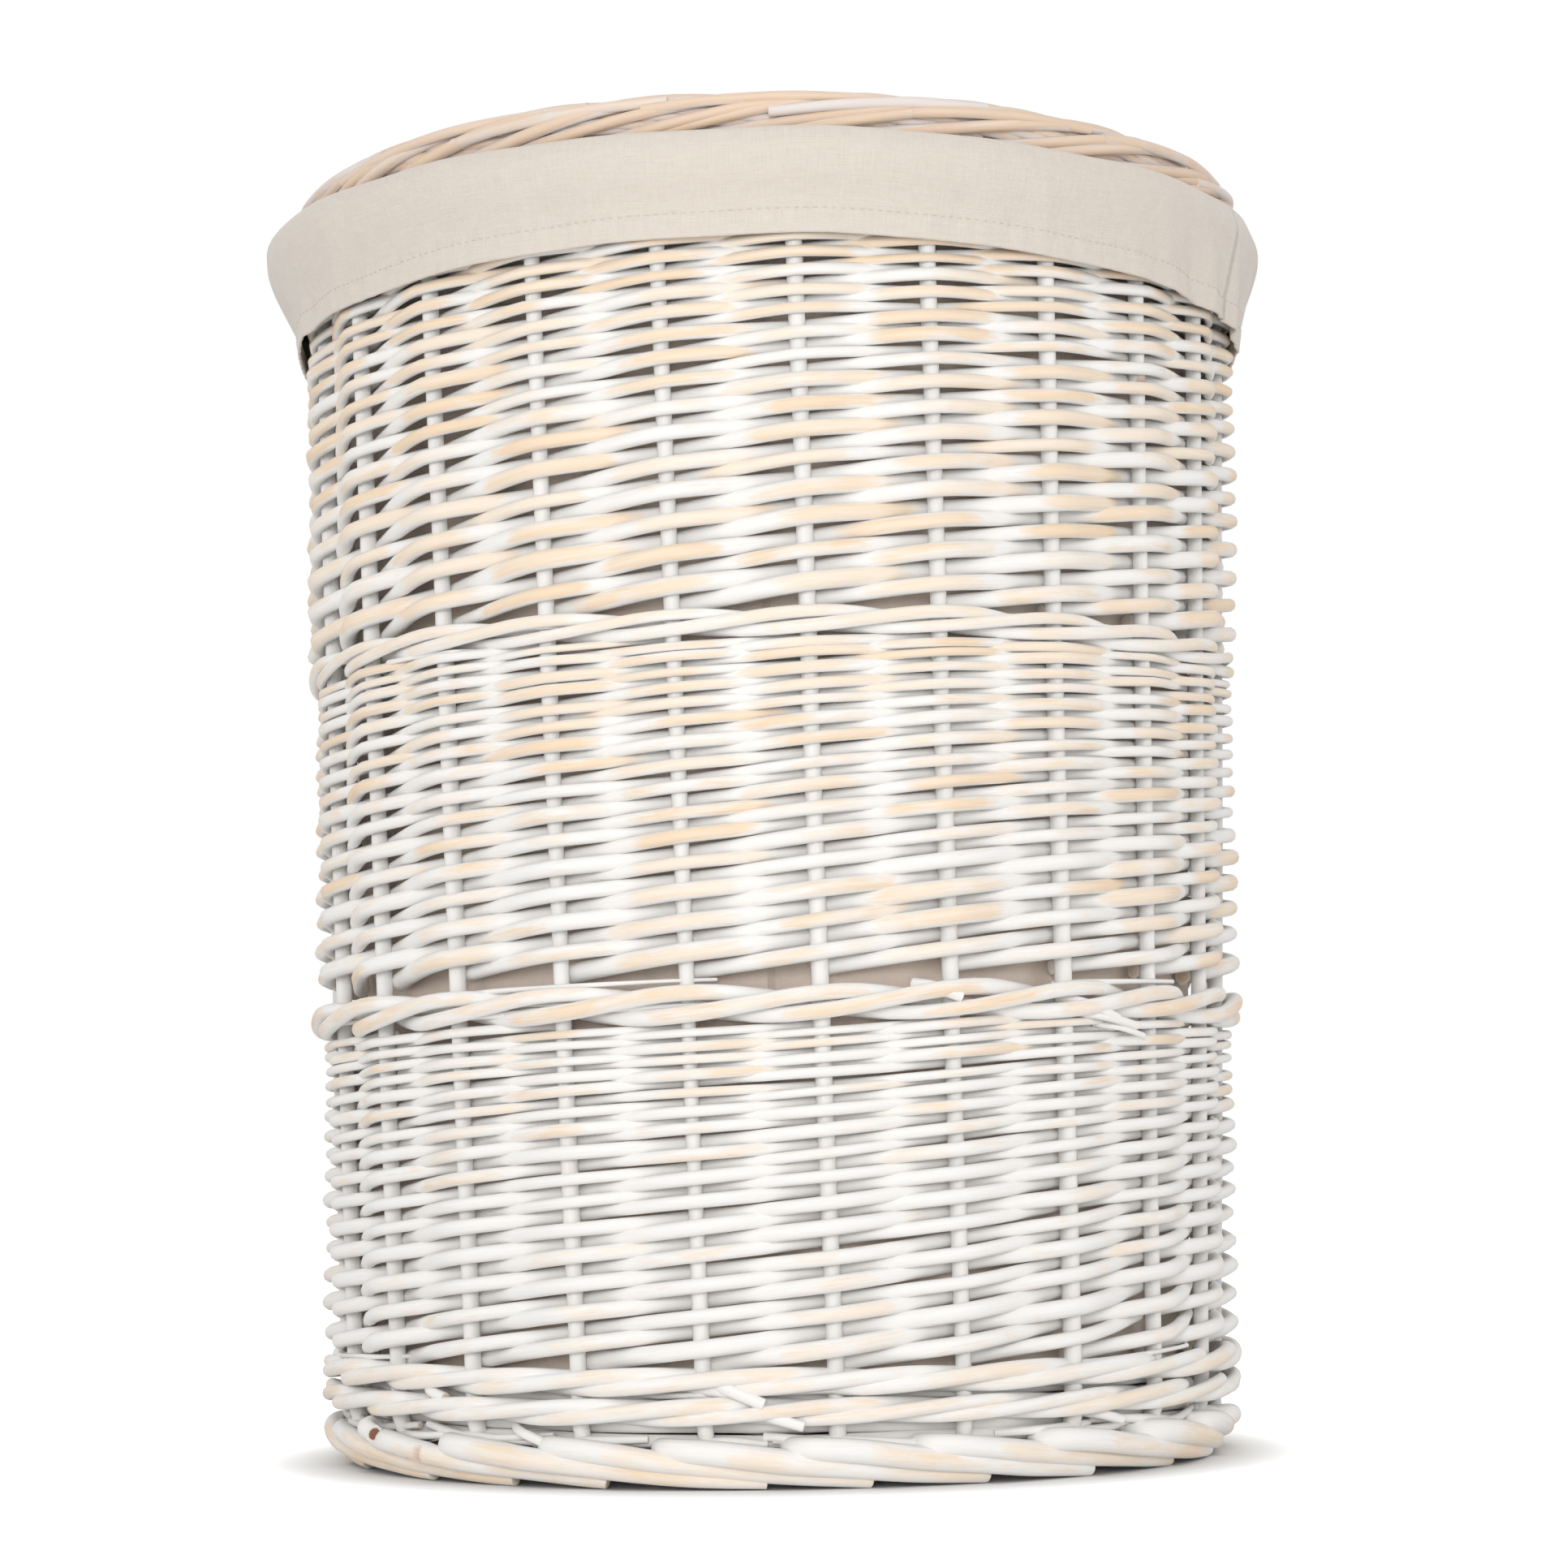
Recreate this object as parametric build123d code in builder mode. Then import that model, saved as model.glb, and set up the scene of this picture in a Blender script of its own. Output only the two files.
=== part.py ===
"""Round lined willow laundry basket with a lift-off lid.

Millimetres, +Z up. The origin is the middle of the foot's underside, and the front faces -Y.
The willow is woven round upright side stakes. Each band of weaving is one ring with a hole for
every stake. The cloth liner and the lid are bodies of their own, and both lift straight up.
"""
import os
from math import cos, hypot, radians, sin

from build123d import *

# ---------------------------------------------------------------- driving dimensions
# side stakes: they stand on one circle at the foot and lean out to a larger one at the rim
stake_count = 23
stake_diameter = 7.0
stake_circle_foot = 197.0  # radius of the stake centres at the floor
stake_circle_rim = 210.8  # radius of the stake centres at the top of the rim border
stake_phase = 6.9  # angle of the first stake from the front, at the floor
stake_twist = -4.0  # how far round each stake has leaned by the top of the rim border
stake_clearance = 0.15  # radial, between a stake and the weaving round it
stake_seat = 3.0  # a stake stops this far below the top of the rim border
stake_end_clearance = 0.3  # above a stake's top, in the rim border

# bands of willow, from the floor up
foot_border_height = 20.5
base_wale_height = 29.5
lower_siding_height = 140.0
lower_wale_height = 16.5
middle_siding_height = 142.5
upper_wale_height = 12.5
upper_siding_height = 173.0
rim_border_height = 17.5

# how far each kind of band stands in and out from the stake centres
weave_inward = 9.5
siding_outward = 9.0
wale_outward = 11.5
rim_border_outward = 12.0
foot_border_inward = 14.0
foot_border_outward = 8.0
band_corner = 3.0  # rounding on the outside edges of wales and borders

# woven discs, the base and the middle of the lid, and the sticks inside them
base_thickness = 15.0
base_edge_clearance = 0.2  # between the base weave and the wale round it
lid_disc_thickness = 14.0
sticks_each_way = 4
stick_diameter = 7.0
stick_gap = 1.0  # between neighbouring sticks at the crossing
stick_straight = 5.0  # straight run past the crossing, before the sticks fan out
stick_bend_radius = 30.0
stick_end_gap = 3.0  # from a stick's end to the edge of its disc
stick_clearance = 0.15
shaved_thickness = 4.0  # of a through stick, where it passes the slits
slit_clearance = 0.2
slit_cheek = 4.0  # willow left above and below a slit
slit_corner = 1.5
crossing_shoulder = 3.5  # the split and shaved stretches run this far past the outer stick
crossing_gap = 2.0  # from the corners of the crossing to the weaving round it

# liner
cloth_thickness = 2.0
liner_wall_clearance = 0.6  # off the willow inside
liner_base_clearance = 0.5  # off the base weave
cuff_turnover = 14.0  # how far the cuff reaches down inside the rim
cuff_depth = 46.0  # from the top of the cuff to its hem, outside
cuff_clearance = 1.0  # off the rim border, outside and on top
cuff_bulge = 5.0  # how far the cuff swells beyond its hem
cuff_fold = 1.5  # rounding where the cuff folds over the rim

# lid
lid_clearance = 0.4  # above the cuff
lid_radius = 219.0
lid_border_height = 21.0
lid_border_width = 20.0
lid_border_corner = 5.0
lid_disc_rise = 2.5  # underside of the woven disc above the underside of the border
lid_groove_depth = 4.0  # the woven disc's edge is held this far inside the border
lid_groove_clearance = 0.2

# ---------------------------------------------------------------- heights and radii that follow
base_wale_bottom = foot_border_height
lower_siding_bottom = base_wale_bottom + base_wale_height
lower_wale_bottom = lower_siding_bottom + lower_siding_height
middle_siding_bottom = lower_wale_bottom + lower_wale_height
upper_wale_bottom = middle_siding_bottom + middle_siding_height
upper_siding_bottom = upper_wale_bottom + upper_wale_height
rim_border_bottom = upper_siding_bottom + upper_siding_height
rim_height = rim_border_bottom + rim_border_height
base_top = base_wale_bottom + base_thickness
stick_pitch = stick_diameter + stick_gap
crossing_half_width = ((sticks_each_way - 1) * stick_pitch + stick_diameter) / 2
crossing_half_length = crossing_half_width + crossing_shoulder
crossing_radius = hypot(crossing_half_width, crossing_half_length) + crossing_gap
stick_fan_start = crossing_half_length + stick_straight
stake_top = rim_height - stake_seat
liner_bottom = base_top + liner_base_clearance
cuff_top = rim_height + cuff_clearance + cloth_thickness
lid_bottom = cuff_top + lid_clearance


def stake_circle(height):
    """Radius of the circle through the stake centres at a height."""
    return stake_circle_foot + (stake_circle_rim - stake_circle_foot) * height / rim_height


def liner_outside(height):
    """Radius of the liner's outside face, inside the basket, at a height."""
    return stake_circle(height) - weave_inward - liner_wall_clearance


def stake_centre(index, height):
    """Centre of a stake at a height, on a straight line from the floor to the rim."""
    foot_angle = radians(stake_phase + index * 360 / stake_count)
    rim_angle = foot_angle + radians(stake_twist)
    foot = Vector(sin(foot_angle), -cos(foot_angle)) * stake_circle_foot
    rim = Vector(sin(rim_angle), -cos(rim_angle)) * stake_circle_rim
    across = foot + (rim - foot) * (height / rim_height)
    return Vector(across.X, across.Y, height)


def stake_plane(index, height):
    """Plane square to a stake, centred on it at a height."""
    along = stake_centre(index, rim_height) - stake_centre(index, 0)
    return Plane(origin=stake_centre(index, height), z_dir=along)


def save(part, name):
    """Label a finished piece and write it as its own file."""
    part.label = name
    export_step(part, f"parts/{name}.step")


# ---------------------------------------------------------------- willow body
def hole_length(bottom, top):
    """Length along a stake from one height to another, so that the hole's square end clears it."""
    upright = stake_plane(0, bottom).z_dir.Z
    tilt_drop = (stake_diameter / 2 + stake_clearance) * (1 - upright**2) ** 0.5
    return (top - bottom + tilt_drop) / upright


def make_band(name, bottom, height, outward, corner=0.0, hole_top=None):
    """One ring of weaving that follows the stakes' lean, with a hole for every stake.

    The holes go right through, unless hole_top says at what height they stop.
    """
    top = bottom + height
    with BuildPart() as band:
        with BuildSketch(Plane.XZ):
            with BuildLine():
                Polyline(
                    (stake_circle(bottom) - weave_inward, bottom),
                    (stake_circle(bottom) + outward, bottom),
                    (stake_circle(top) + outward, top),
                    (stake_circle(top) - weave_inward, top),
                    close=True,
                )
            make_face()
        revolve(axis=Axis.Z)
        if corner:
            outside_edges = band.edges().filter_by(GeomType.CIRCLE).sort_by(SortBy.RADIUS)[-2:]
            fillet(outside_edges, radius=min(corner, 0.3 * height))
        hole_bottom = bottom - stake_diameter
        if hole_top is None:
            hole_top = top + stake_diameter
        for index in range(stake_count):
            with BuildSketch(stake_plane(index, hole_bottom)):
                Circle(stake_diameter / 2 + stake_clearance)
        extrude(amount=hole_length(hole_bottom, hole_top), mode=Mode.SUBTRACT)
    save(band.part, name)


def make_foot_border():
    """The border that the basket stands on, flat underneath. The stakes stand on it."""
    with BuildPart() as foot_border:
        with BuildSketch():
            Circle(stake_circle_foot + foot_border_outward)
            Circle(stake_circle_foot - foot_border_inward, mode=Mode.SUBTRACT)
        extrude(amount=foot_border_height)
        outside_edges = foot_border.edges().filter_by(GeomType.CIRCLE).sort_by(SortBy.RADIUS)[-2:]
        fillet(outside_edges, radius=band_corner)
    save(foot_border.part, "foot_border")


def make_stake(index):
    """One upright side stake, cut level at both ends."""
    uncut_bottom = base_wale_bottom - stake_diameter
    uncut_top = stake_top + stake_diameter
    with BuildPart() as stake:
        with BuildSketch(stake_plane(index, uncut_bottom)):
            Circle(stake_diameter / 2)
        extrude(amount=hole_length(uncut_bottom, uncut_top))
        split(bisect_by=Plane.XY.offset(base_wale_bottom), keep=Keep.TOP)
        split(bisect_by=Plane.XY.offset(stake_top), keep=Keep.BOTTOM)
    save(stake.part, f"side_stake_{index + 1:02d}")


# ---------------------------------------------------------------- sticks and woven discs
def lanes():
    """Places of the sticks that lie one way, in pitches from the middle, from one side across."""
    return [number - (sticks_each_way - 1) / 2 for number in range(sticks_each_way)]


def stick_route(lane, reach, level, across):
    """Points of one stick, which runs straight through the crossing and fans out both ways.

    The fan spaces the ends of all the sticks evenly. The slit sticks lie along X, and the
    through sticks, which are across, along Y.
    """
    fan = radians(lane * 90 / sticks_each_way)
    offset = lane * stick_pitch
    end_x = reach * cos(fan)
    end_y = reach * sin(fan)
    start_x = stick_fan_start
    route = [(-end_x, end_y), (-start_x, offset), (start_x, offset), (end_x, end_y)]
    if across:
        route = [(-y, x) for x, y in route]
    return [(x, y, level) for x, y in route]


def stick_rod(route, radius, mode=Mode.ADD):
    """A round rod along a stick's route, added to or cut from the part being built."""
    with BuildLine() as line:
        FilletPolyline(route, radius=stick_bend_radius)
    path = line.wire()
    with BuildSketch(Plane(origin=path @ 0, z_dir=path % 0)) as section:
        Circle(radius)
    sweep(sections=section.sketch, path=path, mode=mode)


def make_slit_stick(name, lane, reach, level):
    """A stick split open at the crossing, so that the through sticks can pass."""
    gap = shaved_thickness + 2 * slit_clearance
    lane_plane = Plane.XZ.offset(-lane * stick_pitch)
    with BuildPart() as stick:
        stick_rod(stick_route(lane, reach, level, False), stick_diameter / 2)
        with BuildSketch(lane_plane):
            with Locations((0, level)):
                RectangleRounded(2 * crossing_half_length, gap + 2 * slit_cheek, slit_corner)
        extrude(amount=stick_diameter / 2, both=True)
        with BuildSketch(lane_plane):
            with Locations((0, level)):
                Rectangle(crossing_half_length + crossing_half_width, gap)
        extrude(amount=stick_diameter, both=True, mode=Mode.SUBTRACT)
    save(stick.part, name)


def make_through_stick(name, lane, reach, level):
    """A stick shaved flat at the crossing, lying through the slits of the others."""
    with BuildPart() as stick:
        stick_rod(stick_route(lane, reach, level, True), stick_diameter / 2)
        for side in (-1, 1):
            with BuildSketch(Plane.XY.offset(level + side * shaved_thickness / 2)):
                with Locations((-lane * stick_pitch, 0)):
                    Rectangle(2 * stick_diameter, 2 * crossing_half_length)
            extrude(amount=side * stick_diameter, mode=Mode.SUBTRACT)
    save(stick.part, name)


def make_woven_disc(name, stick_name, radius, bottom, thickness):
    """A woven disc with a bare crossing in the middle, and the sticks inside it."""
    level = bottom + thickness / 2
    reach = radius - stick_end_gap
    with BuildPart() as disc:
        with BuildSketch(Plane.XY.offset(bottom)):
            Circle(radius)
            Circle(crossing_radius, mode=Mode.SUBTRACT)
        extrude(amount=thickness)
        for across in (False, True):
            for lane in lanes():
                channel = stick_route(lane, reach + stick_clearance, level, across)
                stick_rod(channel, stick_diameter / 2 + stick_clearance, Mode.SUBTRACT)
    save(disc.part, name)
    for number, lane in enumerate(lanes(), start=1):
        make_slit_stick(f"{stick_name}_slit_stick_{number}", lane, reach, level)
        make_through_stick(f"{stick_name}_through_stick_{number}", lane, reach, level)


# ---------------------------------------------------------------- liner
def make_liner_bottom():
    """The round piece of cloth on the floor of the basket."""
    with BuildPart() as liner_bottom_piece:
        with BuildSketch(Plane.XY.offset(liner_bottom)):
            Circle(liner_outside(liner_bottom))
        extrude(amount=cloth_thickness)
    save(liner_bottom_piece.part, "liner_bottom")


def make_liner_wall():
    """The side of the liner, from its bottom piece up to the cuff."""
    low = liner_bottom + cloth_thickness
    high = cuff_top - cuff_turnover
    with BuildPart() as liner_wall:
        with BuildSketch(Plane.XZ):
            with BuildLine():
                Polyline(
                    (liner_outside(low) - cloth_thickness, low),
                    (liner_outside(low), low),
                    (liner_outside(high), high),
                    (liner_outside(high) - cloth_thickness, high),
                    close=True,
                )
            make_face()
        revolve(axis=Axis.Z)
    save(liner_wall.part, "liner_wall")


def make_liner_cuff():
    """The band of cloth that folds over the rim and hangs outside it."""
    low = cuff_top - cuff_turnover
    hem = cuff_top - cuff_depth
    under_top = cuff_top - cloth_thickness
    inside = liner_outside(under_top)
    outside = stake_circle_rim + rim_border_outward + cuff_clearance
    middle = (cuff_top + hem) / 2
    with BuildPart() as liner_cuff:
        with BuildSketch(Plane.XZ):
            with BuildLine():
                Polyline((outside, under_top), (inside, under_top), (liner_outside(low), low))
                Polyline(
                    (liner_outside(low), low),
                    (liner_outside(low) - cloth_thickness, low),
                    (inside - cloth_thickness, cuff_top),
                    (outside + cloth_thickness, cuff_top),
                )
                ThreePointArc(
                    (outside + cloth_thickness, cuff_top),
                    (outside + cloth_thickness + cuff_bulge, middle),
                    (outside + cloth_thickness, hem),
                )
                Line((outside + cloth_thickness, hem), (outside, hem))
                ThreePointArc((outside, hem), (outside + cuff_bulge, middle), (outside, under_top))
            make_face()
        revolve(axis=Axis.Z)
        fold_edges = liner_cuff.edges().filter_by(GeomType.CIRCLE).group_by(Axis.Z)[-1]
        fillet(fold_edges, radius=min(cuff_fold, 0.75 * cloth_thickness))
    save(liner_cuff.part, "liner_cuff")


# ---------------------------------------------------------------- lid
def make_lid_border():
    """The rolled border round the lid, with a groove that holds the woven disc."""
    inner_radius = lid_radius - lid_border_width
    disc_bottom = lid_bottom + lid_disc_rise
    with BuildPart() as lid_border:
        with BuildSketch(Plane.XY.offset(lid_bottom)):
            Circle(lid_radius)
            Circle(inner_radius, mode=Mode.SUBTRACT)
        extrude(amount=lid_border_height)
        outside_edges = lid_border.edges().filter_by(GeomType.CIRCLE).sort_by(SortBy.RADIUS)[-2:]
        fillet(outside_edges, radius=min(lid_border_corner, 0.3 * lid_border_height))
        with BuildSketch(Plane.XY.offset(disc_bottom - lid_groove_clearance)):
            Circle(inner_radius + lid_groove_depth + lid_groove_clearance)
        extrude(amount=lid_disc_thickness + 2 * lid_groove_clearance, mode=Mode.SUBTRACT)
    save(lid_border.part, "lid_border")


def main():
    os.makedirs("parts", exist_ok=True)
    make_foot_border()
    make_band("base_wale", base_wale_bottom, base_wale_height, wale_outward, band_corner)
    make_band("lower_siding", lower_siding_bottom, lower_siding_height, siding_outward)
    make_band("lower_wale", lower_wale_bottom, lower_wale_height, wale_outward, band_corner)
    make_band("middle_siding", middle_siding_bottom, middle_siding_height, siding_outward)
    make_band("upper_wale", upper_wale_bottom, upper_wale_height, wale_outward, band_corner)
    make_band("upper_siding", upper_siding_bottom, upper_siding_height, siding_outward)
    rim_hole_top = stake_top + stake_end_clearance
    make_band(
        "rim_border", rim_border_bottom, rim_border_height, rim_border_outward, band_corner, rim_hole_top
    )
    for index in range(stake_count):
        make_stake(index)
    base_circle = min(stake_circle(base_wale_bottom), stake_circle(base_top))
    base_radius = base_circle - weave_inward - base_edge_clearance
    make_woven_disc("base_weave", "base", base_radius, base_wale_bottom, base_thickness)
    make_liner_bottom()
    make_liner_wall()
    make_liner_cuff()
    make_lid_border()
    lid_disc_radius = lid_radius - lid_border_width + lid_groove_depth
    make_woven_disc("lid_weave", "lid", lid_disc_radius, lid_bottom + lid_disc_rise, lid_disc_thickness)


main()
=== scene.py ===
"""Woven willow laundry basket with a cotton liner and a lid: the looks, in metres.

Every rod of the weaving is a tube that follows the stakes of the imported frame. The liner is
three sheets of cloth. Sizes come from the frame, and the rest are named below.
"""
import math

import bpy
import numpy as np
from mathutils import Matrix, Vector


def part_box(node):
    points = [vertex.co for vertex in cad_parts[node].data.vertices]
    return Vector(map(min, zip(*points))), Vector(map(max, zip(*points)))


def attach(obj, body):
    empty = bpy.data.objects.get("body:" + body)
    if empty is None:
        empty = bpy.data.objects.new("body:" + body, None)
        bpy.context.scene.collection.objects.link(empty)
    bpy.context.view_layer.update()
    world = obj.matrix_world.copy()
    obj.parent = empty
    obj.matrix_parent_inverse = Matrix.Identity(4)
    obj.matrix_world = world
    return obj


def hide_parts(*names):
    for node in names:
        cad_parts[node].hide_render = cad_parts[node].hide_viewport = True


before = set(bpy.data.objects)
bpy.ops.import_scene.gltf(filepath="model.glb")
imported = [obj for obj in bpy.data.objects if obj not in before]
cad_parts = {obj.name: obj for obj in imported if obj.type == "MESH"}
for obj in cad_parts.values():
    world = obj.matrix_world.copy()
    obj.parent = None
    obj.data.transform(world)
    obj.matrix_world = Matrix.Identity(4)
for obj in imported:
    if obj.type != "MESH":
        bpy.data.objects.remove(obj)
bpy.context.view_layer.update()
rng = np.random.default_rng(23)
TAU = 2 * math.pi

# ---------------------------------------------------------------- sizes in metres, and colours
MM = 0.001
STEPS_PER_SPACE = 8  # rings of a rod between one stake and the next
ROD_SIDES = 10
THICK_ROD_SIDES = 14

STAKE_RADIUS = 3.5 * MM
STAKE_END = 9 * MM  # how far down a stake goes, behind the foot
BUTT_DIAMETER = 7.4 * MM  # thick end of a side weaver
TIP_SHARE = 0.50  # thin end of a side weaver, as a share of its butt
TIP_RISE_SHARE = 0.35  # rise per stake at the tips, as a share of the rise at the butts
WALE_ROD_RADIUS = 2.6 * MM
BASE_WALE_ROD_RADIUS = 3.3 * MM
RIM_ROD_RADIUS = 2.7 * MM
DISC_ROD_RADIUS = 2.1 * MM
LID_ROD_RADIUS = 2.65 * MM
LID_STROKES = 46  # border rods of the lid
# how many others a border rod passes on its way: outside and inside the lid's border, and the rim
LID_BORDER_SPAN = 7.0
LID_CORE_SPAN = 3.4
RIM_BORDER_SPAN = 6.0
FILLER_ROD_RADIUS = 2.7 * MM
PAIRING_PITCH = 2.75  # from one round of pairing to the next, in rod radii
CROSSING = 27.5 * MM  # middle of a disc, where only the sticks cross

CLOTH = 1.0 * MM
WALL_FROM_WILLOW = 12.5 * MM  # liner wall to the stakes' centres
HEM_DEPTH = 10 * MM
CUFF_FRONT = 46 * MM  # how far up from the hem the cloth wrinkles
CUFF_COLUMNS = 720  # points round the cuff
CUFF_SEAM = 67  # degrees from the front
CUFF_CREASE = 1.5 * MM
BAG_CREASE = 3.2 * MM
BAG_BULGE = 0.6 * MM  # the most that the bag's side stands out towards the weaving
LOOSE_CREASES = 60  # in the cuff, and as many in the bag's side
STITCH_RADIUS = 0.28 * MM
THREADS_PER_METRE = 1550.0

LENS = 83.2  # camera lens in mm
CAMERA_PLACE = (0.0045, -1.683, 0.1308)
CAMERA_TIP, CAMERA_ROLL = 96.0, -0.78  # in degrees
SURROUND = 0.76  # brightness of the white surround, as a light
FLOOR_GLOW = 0.70  # what the floor adds to look white; it lights nothing
FLOOR_REACH = 14.0
SHADOW_EDGE = (0.195, 0.262)  # from the middle, where the floor starts to glow
FULL_GLOW = (0.4, 1.6)  # and where the rest of its glow comes in
# lights: place, size and power
LIGHTS = {
    "key": ((-0.10, -2.2, 0.46), 0.6, 13.6),
    "left": ((-2.0, -1.6, 0.42), 0.9, 5.6),
    "right": ((2.0, -1.6, 0.42), 0.9, 5.6),
    "back": ((0.0, 1.2, 2.3), 1.6, 3.5),
}
LIGHTS_AIM = (0, 0, 0.3)

PALE_WOOD = (0.875, 0.765, 0.640, 1)
DEEP_WOOD = (0.845, 0.660, 0.470, 1)
WOOD_GRAIN = (0.680, 0.480, 0.320, 1)
PAINT = (0.862, 0.846, 0.824, 1)
PAINT_GRAIN = (0.780, 0.750, 0.712, 1)
YELLOWED_PAINT = (0.870, 0.830, 0.780, 1)
SAWN_WOOD = (0.700, 0.560, 0.400, 1)
AGED_WOOD = (0.560, 0.415, 0.360, 1)
PITH = (0.250, 0.120, 0.070, 1)
KNOT = (0.420, 0.230, 0.140, 1)
COTTON_DULL = (0.631, 0.568, 0.502, 1)
COTTON_LIGHT = (0.719, 0.659, 0.593, 1)
COTTON_MOTTLE = (0.706, 0.641, 0.568, 1)
COTTON_GAPS = (0.483, 0.416, 0.351, 1)
# painted warm shade: the bag's cloth is tinted to the warm colour it shows in shade through the weave
COTTON_WARM_SHADE = (0.740, 0.545, 0.435, 1)
THREAD_DULL = (0.600, 0.550, 0.480, 1)
THREAD_LIGHT = (0.680, 0.630, 0.560, 1)
FLOOR_DULL = (0.80, 0.80, 0.80, 1)
FLOOR_LIGHT = (0.82, 0.82, 0.82, 1)
WHITE = (1, 1, 1, 1)

# a rod of the foot: place in stakes, then outward, height and radius in mm
FOOT_ROD = (
    (-0.28, -15.0, 16.4, 4.3),
    (-0.33, -7.0, 16.4, 4.6),
    (-0.31, 0.5, 16.8, 4.8),
    (-0.17, 5.0, 16.6, 4.9),
    (0.15, 6.2, 15.2, 4.9),
    (0.60, 5.2, 12.0, 4.8),
    (1.10, 2.4, 9.2, 4.6),
    (1.60, 0.0, 6.5, 4.3),
    (2.10, -1.4, 4.3, 3.8),
    (2.40, -2.0, 3.1, 3.1),
)
PITH_SHOWS = 3.5 * MM  # cut ends of rods thicker than this show their dark pith
# cut ends that show: place in stakes, height, length, drop, outward and radius in mm
CUT_ENDS = (
    (-4.35, 22, 17, 3, 11.5, 4.0),
    (-0.95, 44, 22, 9, 10.0, 2.6),
    (-0.60, 31, 18, 5, 9.5, 2.4),
    (-2.65, 25, 20, 6, 4.5, 2.2),
    (-3.50, 40, 18, 4, 8.0, 2.3),
    (0.70, 205, 17, 6, 9.5, 2.6),
    (1.92, 199, 26, 9, 9.5, 2.3),
    (2.05, 193, 30, 6, 10.0, 2.0),
    (2.30, 188, 22, 5, 9.0, 1.5),
    (2.10, 27, 16, 4, 6.5, 2.2),
    (-6.20, 200, 20, 5, 9.5, 2.6),
    (5.40, 203, 18, 5, 9.5, 2.6),
    (7.70, 34, 24, 7, 9.0, 2.5),
    (10.2, 356, 16, 4, 8.5, 2.4),
    (-8.60, 36, 24, 8, 9.0, 2.5),
    (11.8, 41, 22, 6, 8.5, 2.5),
    (9.10, 201, 22, 7, 9.0, 2.4),
    (-10.3, 198, 18, 5, 9.0, 2.4),
)
# rounds of rods behind the base wale: outward and height in mm
FILLER_ROUNDS = ((-6.5, 19.5), (-7.5, 25.5), (-7.0, 31.5), (-7.5, 37.5), (-7.0, 43.5))
WALE_STROKE_AT = (0, 0.5, 1.0, 1.5, 2.0, 2.5, 3.0)  # stakes along a wale stroke
WALE_STROKE_RISE = (-0.1, -1.1, -0.9, 0.1, 1.1, 0.8, -0.1)  # and how high it is there
# creases gathered near the cuff's right-hand end: degrees from the front, lean and depth
GATHERED_CREASES = (
    (46, 0.14, 0.7),
    (52, 0.10, 1.1),
    (58, 0.12, -1.5),
    (63, 0.10, 1.6),
    (71, 0.07, 1.9),
    (76, -0.05, -1.5),
    (82, 0.04, 1.5),
    (-70, -0.1, 1.0),
)

# ---------------------------------------------------------------- reading the frame
stake_nodes = sorted(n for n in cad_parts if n.startswith("side_stake_"))
STAKES = len(stake_nodes)
STEP = TAU / STAKES


def end_centres(node):
    """Centres of the lowest and highest face of an upright CAD rod."""
    points = np.array([v.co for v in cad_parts[node].data.vertices])
    height = points[:, 2]
    ends = []
    for level in (height.min(), height.max()):
        ring = np.unique(points[np.abs(height - level) < 1e-5].round(6), axis=0)
        ends.append((ring.min(0) + ring.max(0)) / 2)
    return ends


STAKE_FOOT, STAKE_HEAD = end_centres(stake_nodes[0])


def band(node):
    """Lowest and highest point of a CAD ring, and its outside radius."""
    low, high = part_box(node)
    return low.z, high.z, high.x


def on_stake(place, height):
    """Points on the stakes' centre lines: place counts stakes, and may lie between two."""
    share = (height - STAKE_FOOT[2]) / (STAKE_HEAD[2] - STAKE_FOOT[2])
    x = STAKE_FOOT[0] + (STAKE_HEAD[0] - STAKE_FOOT[0]) * share
    y = STAKE_FOOT[1] + (STAKE_HEAD[1] - STAKE_FOOT[1]) * share
    turn = place * STEP
    return x * np.cos(turn) - y * np.sin(turn), x * np.sin(turn) + y * np.cos(turn)


def stake_circle(height):
    """Radius of the circle through the stakes' centres at a height."""
    x, y = on_stake(0.0, height)
    return np.hypot(x, y)


def unit(vectors):
    """Each vector at a length of one."""
    return vectors / np.linalg.norm(vectors, axis=1, keepdims=True)


def smooth(low, high, value):
    """0 below low, 1 above high, and a smooth rise between."""
    share = np.clip((value - low) / (high - low), 0, 1)
    return share * share * (3 - 2 * share)


def wander(count, spacing, size):
    """A smooth random line of count values, with a bend about every spacing values."""
    knots = rng.normal(0, size, int(count / spacing) + 5)
    at = np.arange(count) / spacing
    first = at.astype(int)
    part = at - first
    a, b, c, d = (knots[first + k] for k in range(4))
    return (
        a * (1 - part) ** 3
        + b * (3 * part**3 - 6 * part**2 + 4)
        + c * (-3 * part**3 + 3 * part**2 + 3 * part + 1)
        + d * part**3
    ) / 6


def curve(knots, per_span):
    """A smooth line through knots, with per_span points from each knot to the next."""
    ends = np.concatenate([2 * knots[:1] - knots[1:2], knots, 2 * knots[-1:] - knots[-2:-1]])
    part = np.linspace(0, 1, per_span, endpoint=False)
    part = part.reshape((per_span,) + (1,) * (knots.ndim - 1))
    spans = []
    for a, b, c, d in zip(ends, ends[1:], ends[2:], ends[3:]):
        bend = 2 * a - 5 * b + 4 * c - d + part * (3 * (b - c) + d - a)
        spans.append(b + 0.5 * part * (c - a + part * bend))
    return np.concatenate(spans + [knots[-1:]])


def through(knots, step):
    """Points every step metres along a smooth line through knots, whose first three numbers
    are metres: place, outward and height. Any further numbers go along with them."""
    line = curve(np.asarray(knots, float), 24)
    run = np.concatenate([[0], np.cumsum(np.linalg.norm(np.diff(line[:, :3], axis=0), axis=1))])
    at = np.linspace(0, run[-1], max(4, int(run[-1] / step)))
    return np.stack([np.interp(at, run, column) for column in line.T], 1)


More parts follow.
